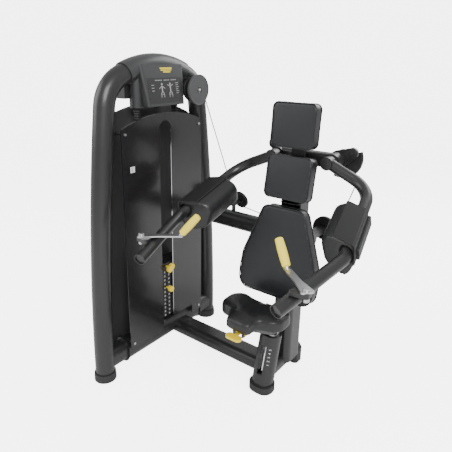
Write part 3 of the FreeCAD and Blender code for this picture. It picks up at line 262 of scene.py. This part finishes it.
def remesh(obj, size):
    """Even skin of small faces, size metres wide."""
    m = obj.modifiers.new("remesh", "REMESH")
    m.mode = "VOXEL"
    m.voxel_size = size
    apply_modifiers(obj)


def smooth_mesh(obj, levels, rounds=4):
    """Relax the points, then subdivide."""
    m = obj.modifiers.new("relax", "SMOOTH")
    m.iterations = rounds
    m.factor = 0.5
    apply_modifiers(obj)
    if levels:
        m = obj.modifiers.new("subdivide", "SUBSURF")
        m.levels = m.render_levels = levels
        apply_modifiers(obj)
    obj.data.polygons.foreach_set("use_smooth", [True] * len(obj.data.polygons))


def back_pad(node, cap, voxel):
    """A vinyl pad with a crowned face, a side band and piping at both its edges."""
    obj = solid_copy(node, node + "_soft")
    normal = front_normal(obj)
    co = points(obj)
    height = co @ normal
    deep, shallow = height.min(), height.max()
    rim = co[height > shallow - 5e-4]
    centre = rim.mean(0)
    up = np.cross(normal, [1.0, 0, 0])
    up /= np.linalg.norm(up)
    angle = np.arctan2((rim - centre) @ up, (rim - centre)[:, 0])
    order = np.argsort(angle)
    loop = resample(rim[order], 260)
    middle = co.mean(0)
    flat = co - middle
    along = flat @ normal
    plane = flat - along[:, None] * normal
    reach = np.linalg.norm(plane, axis=1)
    plane *= (1 - 0.004 / np.maximum(reach, 0.02))[:, None]
    set_points(obj, middle + plane + along[:, None] * normal * 0.94)
    remesh(obj, voxel)
    co = points(obj)
    h = co @ normal
    near_back = h < h.min() + 0.006
    edge = np.array([np.min(np.linalg.norm(loop - p, axis=1)) for p in co[h > h.max() - 0.007]])
    at_rim = np.zeros(len(co), bool)
    at_rim[np.flatnonzero(h > h.max() - 0.007)] = edge < 0.012
    swell(obj, near_back | at_rim, 4.0, cap)
    smooth_mesh(obj, 1)
    obj.data.materials.clear()
    obj.data.materials.append(VINYL)
    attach(obj, "root")
    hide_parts(node)
    inner = centre + (loop - centre) * (1 - 0.004 / np.linalg.norm(loop - centre, axis=1))[:, None]
    back = inner - normal * (shallow - deep - 0.006)
    ring_tube(node + "_piping_front", inner - normal * 0.004, normal, 0.0028, PIPING, "root")
    ring_tube(node + "_piping_back", back, normal, 0.0024, PIPING, "root")
    return obj


back_pad("back_pad", 0.010, 0.006)
back_pad("mid_pad", 0.009, 0.005)
back_pad("head_pad", 0.009, 0.005)

# %% [markdown]
# ## The saddle seat
# The seat is one moulded cushion. It is blown up like the pads and then sculpted: its middle is
# dished, its wings droop and its nose rolls over.

# %% Seat
def seat_cushion():
    """Saddle: height less dish*exp(-x^2 - y^2) in the middle, less droop*|x|^1.5 at the wings."""
    obj = solid_copy("seat_pad", "seat_cushion")
    co = points(obj)
    low, high = co.min(0), co.max(0)
    middle = 0.5 * (low + high)
    set_points(obj, middle + (co - middle) * [0.975, 0.97, 0.86])
    remesh(obj, 0.006)
    co = points(obj)
    hold = (co[:, 2] < co[:, 2].min() + 0.006) & (np.abs(co[:, 0] - middle[0]) < 0.08)
    swell(obj, hold, 4.0, 0.014)
    smooth_mesh(obj, 1, 12)
    co = points(obj)
    x = (co[:, 0] - middle[0]) / 0.168
    y = (co[:, 1] - low[1]) / (high[1] - low[1])
    top = np.clip((co[:, 2] - middle[2]) / 0.03, -1, 1)
    dish = 0.010 * np.exp(-((x / 0.5) ** 2)) * np.exp(-(((y - 0.62) / 0.28) ** 2))
    droop = 0.016 * np.clip(np.abs(x) - 0.45, 0, 1) ** 1.5
    roll = 0.012 * np.clip(0.25 - y, 0, 1) * 4
    co[:, 2] -= (0.5 + 0.5 * top) * (dish + roll) + droop
    set_points(obj, co)
    obj.data.materials.clear()
    obj.data.materials.append(MOULDED)
    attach(obj, "seat")
    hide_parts("seat_pad")
    return obj


seat_cushion()

# %% [markdown]
# ## Arm cushions and grips
# The arm cushions are moulded foam: the CAD shape with its edges rounded and its faces a little full.
# The grips are turned shapes that bulge in the middle.

# %% Arms
def arm_cushion(side):
    """Rounded copy of the cushion: remeshed, relaxed, then pushed out to its first size again."""
    obj = solid_copy(side + "_arm_pad", side + "_arm_cushion")
    before = points(obj)
    remesh(obj, 0.006)
    smooth_mesh(obj, 0, 22)
    after = points(obj)
    mid = 0.5 * (before.max(0) + before.min(0))
    grow = np.minimum((before.max(0) - before.min(0)) / (after.max(0) - after.min(0)), 1.12)
    set_points(obj, mid + (after - mid) * grow)
    smooth_mesh(obj, 1, 2)
    obj.data.materials.clear()
    obj.data.materials.append(MOULDED)
    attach(obj, side + "_arm")
    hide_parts(side + "_arm_pad")


def grip(side):
    """Turned grip: radius 14.2 mm + 2.2 mm * sin(pi t), rounded over at both ends."""
    co = points(nodes[side + "_grip"])
    mid = co.mean(0)
    axis = np.linalg.svd(co - mid, full_matrices=False)[2][0]
    axis *= np.sign(axis[2])
    along = (co - mid) @ axis
    base = mid + axis * 0.5 * (along.max() + along.min())
    length = along.max() - along.min()
    t = np.concatenate([np.linspace(0, 0.06, 7), np.linspace(0.1, 0.9, 20), np.linspace(0.94, 1, 7)])
    end = np.minimum(t, 1 - t) / 0.06
    radius = (0.0142 + 0.0022 * np.sin(np.pi * t)) * np.sqrt(np.clip(1 - np.clip(1 - end, 0, 1) ** 2.2, 0, 1))
    radius[[0, -1]] = 0.0005
    u = np.cross(axis, [0, 0, 1.0])
    u /= np.linalg.norm(u)
    v = np.cross(axis, u)
    a = np.linspace(0, 2 * np.pi, 32, endpoint=False)
    ring = np.cos(a)[:, None] * u + np.sin(a)[:, None] * v
    verts = base + (t[:, None, None] - 0.5) * length * axis + radius[:, None, None] * ring[None]
    obj = piece(side + "_grip_sleeve", verts.reshape(-1, 3), grid_faces(len(t), 32), GRIP, side + "_handle")
    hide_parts(side + "_grip")
    return obj


for side in ("left", "right"):
    arm_cushion(side)
    grip(side)

# %% [markdown]
# ## Labels and small trim
# Flat marks lie 0.6 mm in front of the surface they are on. They are drawn from discs, bars and
# generic numbers in the plane of that surface.

# %% Labels
seat_low, seat_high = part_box("seat_pad")
feet_low, feet_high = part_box("rubber_feet")
SEAT_X = 0.5 * (seat_low.x + seat_high.x)
POST_Y = feet_low.y + 0.052


def at(x, y, z):
    """Point given in millimetres from the seat's middle and the front post's foot."""
    return np.array([SEAT_X + x / 1000, POST_Y + y / 1000, z / 1000])


def decal(name, shapes, origin, u, v, mat, body):
    """Flat polygons given as lists of (right, up) in millimetres on the plane of u and v."""
    u, v = np.asarray(u, float), np.asarray(v, float)
    u, v = u / np.linalg.norm(u), v / np.linalg.norm(v)
    verts, faces = [], []
    for shape in shapes:
        faces.append(range(len(verts), len(verts) + len(shape)))
        verts += [origin + (u * a + v * b) / 1000 + np.cross(u, v) * 0.0006 for a, b in shape]
    return piece(name, verts, faces, mat, body, smooth=False)


def bar(x0, y0, x1, y1, w):
    """Thick line between two points."""
    d = np.array([x1 - x0, y1 - y0], float)
    n = np.array([-d[1], d[0]]) / np.linalg.norm(d) * w / 2
    return [(x0 - n[0], y0 - n[1]), (x1 - n[0], y1 - n[1]), (x1 + n[0], y1 + n[1]), (x0 + n[0], y0 + n[1])]


def disc(x, y, r, count=20):
    """Round mark: centre + r*(cos t, sin t)."""
    a = np.linspace(0, 2 * np.pi, count, endpoint=False)
    return [(x + r * math.cos(t), y + r * math.sin(t)) for t in a]


def figure(x, lift):
    """Seated figure of bars with its arms down or lifted."""
    tip = 8 + 16 * lift
    return [disc(x, 27, 5), bar(x, 20, x, -6, 7), bar(x - 3, 18, x - 18, tip, 3.2), bar(x + 3, 18, x + 18, tip, 3.2),
            bar(x - 2, -6, x - 9, -14, 4), bar(x + 2, -6, x + 9, -14, 4), bar(x - 9, -14, x - 9, -30, 3.4),
            bar(x + 9, -14, x + 9, -30, 3.4), bar(x - 11, -18, x + 11, -18, 2)]


def digits(name, text, size, origin, u, v, mat, body):
    """A generic number as a mesh in the plane of u and v."""
    curve = bpy.data.curves.new(name, "FONT")
    curve.body = text
    curve.size = size
    curve.align_x = curve.align_y = "CENTER"
    curve.resolution_u = 3
    temp = bpy.data.objects.new(name + "_temp", curve)
    bpy.context.scene.collection.objects.link(temp)
    bpy.context.view_layer.update()
    mesh = bpy.data.meshes.new_from_object(temp.evaluated_get(bpy.context.evaluated_depsgraph_get()))
    bpy.data.objects.remove(temp)
    co = np.empty(len(mesh.vertices) * 3)
    mesh.vertices.foreach_get("co", co)
    co = co.reshape(-1, 3)
    u, v = np.asarray(u, float), np.asarray(v, float)
    mesh.vertices.foreach_set("co", (origin + co[:, :1] * u + co[:, 1:2] * v + np.cross(u, v) * 0.0010).ravel())
    mesh.materials.clear()
    mesh.materials.append(mat)
    obj = bpy.data.objects.new(name, mesh)
    bpy.context.scene.collection.objects.link(obj)
    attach(obj, body)
    return obj


# the placard on the leaning face of the housing
face_up = np.array([-30.0, 0, 176.0])
face_up /= np.linalg.norm(face_up)
RIGHT = (0, 1, 0)
centre = at(-536 - 30 * (1322 - 1256) / 176, 378.5, 1322)
face = [[(-104, -55), (104, -55), (108, 55), (-108, 55)]]
decal("placard_face", face, centre, RIGHT, face_up, PANEL, "root")
marks = figure(-22, 0) + figure(30, 1)
marks += [bar(-60 + 9 * i, 44, -54 + 9 * i, 44, 4) for i in range(15) if i not in (5, 10)]
marks += [bar(66, 30 - 9 * i, 86 - 5 * (i % 2), 30 - 9 * i, 2.4) for i in range(6)]
marks += [bar(-86, 24 - 12 * i, -70, 24 - 12 * i, 2.4) for i in range(3)]
decal("placard_marks", marks, centre + 0.0004 * np.cross(RIGHT, face_up), RIGHT, face_up, DIM, "root")
badge_at = at(-536 - 30 * (1408 - 1256) / 176, 396, 1408)
badge = [bar(-38, 8, 38, 8, 6), bar(-34, 0, 34, 0, 5), bar(-20, -8, 26, -8, 5)]
decal("tower_badge", badge, badge_at, RIGHT, face_up, BADGE, "root")

# two columns of numbered labels on the weight plates, seen through the slot
for i in range(12):
    z = 176 + 22 * (i + 0.5) + (0.4 if i >= 7 else 0)
    body = "root" if i < 7 else "lifted_stack"
    spots = [[(s * 15 - 5, -5), (s * 15 + 5, -5), (s * 15 + 5, 5), (s * 15 - 5, 5)] for s in (-1, 1)]
    decal("weight_label_%02d" % i, spots, at(-567.4, 378.5, z), RIGHT, (0, 0, 1), DIM, body)
    digits("weight_number_%02d" % i, str(60 - 5 * i), 0.008, at(-568, 363.5, z), (0, 1, 0), (0, 0, 1), INK,
           body)

# seat height numbers on the column's rounded front corner
turn, lean = math.radians(28), math.radians(14)
tilt = np.array([0, math.sin(lean), math.cos(lean)])
across = np.array([math.cos(turn), math.sin(turn), 0])
spot = at(10 + 40 * math.sin(turn), 408 + 172 * math.tan(lean) - 2 - 40 * math.cos(turn), 172)
for i in range(5):
    digits("column_number_%d" % i, str(i + 1), 0.015, spot + tilt * 0.018 * (i - 2), tilt, -across, WHITE,
           "root")

# small label on the front cover and the bright edge of its slot
square = [[(-13, -13), (13, -13), (13, 13), (-13, 13)]]
decal("cover_label", square, at(-558, 172, 994), RIGHT, (0, 0, 1), WHITE, "root")
decal("cover_label_marks", [bar(-9, 8 - 4 * i, 9 - 3 * (i % 3), 8 - 4 * i, 1.4) for i in range(5)],
      at(-557.6, 172, 994), RIGHT, (0, 0, 1), INK, "root")


def block(name, low, high, mat, body):
    """Box between two corners."""
    x, y, z = np.stack([low, high]).T
    verts = [(x[i], y[j], z[k]) for i in (0, 1) for j in (0, 1) for k in (0, 1)]
    faces = [(0, 1, 3, 2), (4, 6, 7, 5), (0, 4, 5, 1), (2, 3, 7, 6), (0, 2, 6, 4), (1, 5, 7, 3)]
    return piece(name, verts, faces, mat, body, smooth=False)


block("slot_trim", at(-561.5, 413.0, 175), at(-556.6, 416.4, 1145), CHROME, "root")


def turned(name, profile, origin, axis, mat, body, count=32):
    """Solid of revolution: profile of (radius, height) in millimetres about an axis."""
    axis = np.asarray(axis, float) / np.linalg.norm(axis)
    u = np.cross(axis, [0.3, 0.2, 1.0])
    u /= np.linalg.norm(u)
    v = np.cross(axis, u)
    a = np.linspace(0, 2 * np.pi, count, endpoint=False)
    ring = np.cos(a)[:, None] * u + np.sin(a)[:, None] * v
    p = np.asarray(profile, float) / 1000
    verts = origin + p[:, 1, None, None] * axis + p[:, 0, None, None] * ring[None]
    return piece(name, verts.reshape(-1, 3), grid_faces(len(p), count), mat, body)


# the round cover's rim and its sunk bolt; the dark ring round the bolt is painted shade in place of a real recess
hub_low, hub_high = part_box("pulley_disc")
hub = np.array([hub_high.x, 0.5 * (hub_low.y + hub_high.y), 0.5 * (hub_low.z + hub_high.z)])
rim = [(66, -1), (66, 1.0), (69, 1.0), (70.6, -0.5), (70.6, -12)]
turned("disc_rim", rim, hub, (1, 0, 0), DISC, "root", 64)
# painted shade: a raised ring of dark frame paint stands in for the shaded recess round the bolt
turned("disc_recess_shade", [(0.2, 0.5), (13, 0.5), (14, 1.4), (16, 1.4), (17, 0.2)], hub, (1, 0, 0), PAINT, "root")
turned("disc_bolt", [(0.2, 4.5), (6.0, 4.5), (7.5, 3.6), (7.5, 0.2)], hub, (1, 0, 0), STEEL, "root", 6)

# %% [markdown]
# ## Stage, light and camera

# %% Stage
SWEEP_YAW = 38.7
FLOOR_GLOW = 4.5
SKY = 0.8
LENS = 36.84


def sweep_floor():
    """Floor that curves up into a backdrop, square to the camera."""
    a = np.linspace(0, math.pi / 2, 24)
    run = np.concatenate([[-6.0], 5.0 + 3.0 * np.sin(a), [8.0]])
    rise = np.concatenate([[0.0], 3.0 - 3.0 * np.cos(a), [9.0]])
    yaw = math.radians(SWEEP_YAW)
    ahead = np.array([-math.sin(yaw), math.cos(yaw), 0])
    side = np.array([math.cos(yaw), math.sin(yaw), 0])
    wide = np.array([-12.0, 12.0])
    verts = run[:, None, None] * ahead + wide[None, :, None] * side + rise[:, None, None] * np.array([0, 0, 1.0])
    mesh = bpy.data.meshes.new("floor")
    mesh.from_pydata(verts.reshape(-1, 3).tolist(), [], grid_faces(len(run), 2, close_cols=False)[:, ::-1].tolist())
    mesh.polygons.foreach_set("use_smooth", [True] * len(mesh.polygons))
    mesh.materials.append(FLOOR)
    obj = bpy.data.objects.new("floor", mesh)
    bpy.context.scene.collection.objects.link(obj)


FLOOR = finish("floor_white", (0.90, 0.90, 0.90), 0.8, bump=0.0, drift=0.005)
floor_shader = FLOOR.node_tree.nodes["Principled BSDF"]
seen = FLOOR.node_tree.nodes.new("ShaderNodeLightPath")
glow = FLOOR.node_tree.nodes.new("ShaderNodeMath")
glow.operation = "MULTIPLY"
glow.inputs[1].default_value = FLOOR_GLOW
FLOOR.node_tree.links.new(seen.outputs["Is Camera Ray"], glow.inputs[0])
FLOOR.node_tree.links.new(glow.outputs[0], floor_shader.inputs["Emission Strength"])
floor_shader.inputs["Emission Color"].default_value = (1, 1, 1, 1)
sweep_floor()
world = bpy.data.worlds.new("studio")
world.use_nodes = True
world.node_tree.nodes["Background"].inputs["Color"].default_value = (1, 1, 1, 1)
world.node_tree.nodes["Background"].inputs["Strength"].default_value = SKY
bpy.context.scene.world = world


def lamp(name, at, to, size, power):
    """Soft square lamp that looks at a point."""
    light = bpy.data.lights.new(name, "AREA")
    light.size = size
    light.energy = power
    obj = bpy.data.objects.new(name, light)
    obj.location = at
    obj.rotation_euler = (Vector(to) - Vector(at)).to_track_quat("-Z", "Y").to_euler()
    bpy.context.scene.collection.objects.link(obj)


lamp("key", (2.6, -2.6, 3.4), (0, 0, 0.7), 2.4, 190)
lamp("fill", (-2.8, -2.2, 2.4), (0, 0, 0.7), 2.6, 60)
lamp("back", (0.5, 3.0, 3.0), (0, 0, 0.9), 2.2, 70)

camera = bpy.data.cameras.new("camera")
camera.sensor_width = 36.0
camera.lens = LENS
camera.shift_x = 0.0367
camera.shift_y = -0.0520
camera.clip_end = 100
eye = bpy.data.objects.new("camera", camera)
eye.location = at(926.0, -1152.2, 1460.8)
eye.rotation_euler = (math.radians(72.6457), math.radians(-0.4451), math.radians(38.6992))
bpy.context.scene.collection.objects.link(eye)
bpy.context.scene.camera = eye
